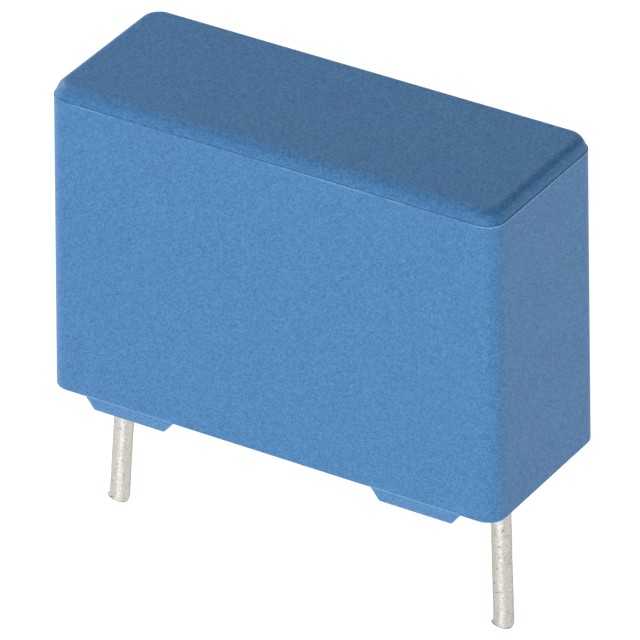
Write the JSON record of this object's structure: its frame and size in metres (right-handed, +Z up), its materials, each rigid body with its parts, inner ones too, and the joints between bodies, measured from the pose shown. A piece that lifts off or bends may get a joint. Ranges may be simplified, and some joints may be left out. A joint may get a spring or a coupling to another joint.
{
  "type": "box film capacitor",
  "caption": "Radial box film capacitor: drafted moulded case with round edges and small feet, potted wound element, and straight tinned wire leads.",
  "frame": {"origin": "on the seating plane of the four feet, under the middle of the case", "axes": "+X along the case from the left lead to the right lead, +Y through the case's depth towards the back, +Z up from the board through the top"},
  "size_m": [0.018, 0.007, 0.0183],
  "materials": {
    "case_plastic": "fine matte texture from the mould, solid blue",
    "epoxy_resin": "cast epoxy, slightly glossy, darker blue",
    "metallised_film": "pressed roll of metallised film with plain outer turns",
    "sprayed_metal": "rough dull sprayed zinc",
    "tinned_wire": "dull tin over copper, sheared ends"
  },
  "bodies": {
    "root": {"case": "case_plastic", "resin_fill": "epoxy_resin", "film_winding": "metallised_film", "end_spray_left": "sprayed_metal", "end_spray_right": "sprayed_metal", "lead_left": "tinned_wire", "lead_right": "tinned_wire"}
  },
  "joints": []
}
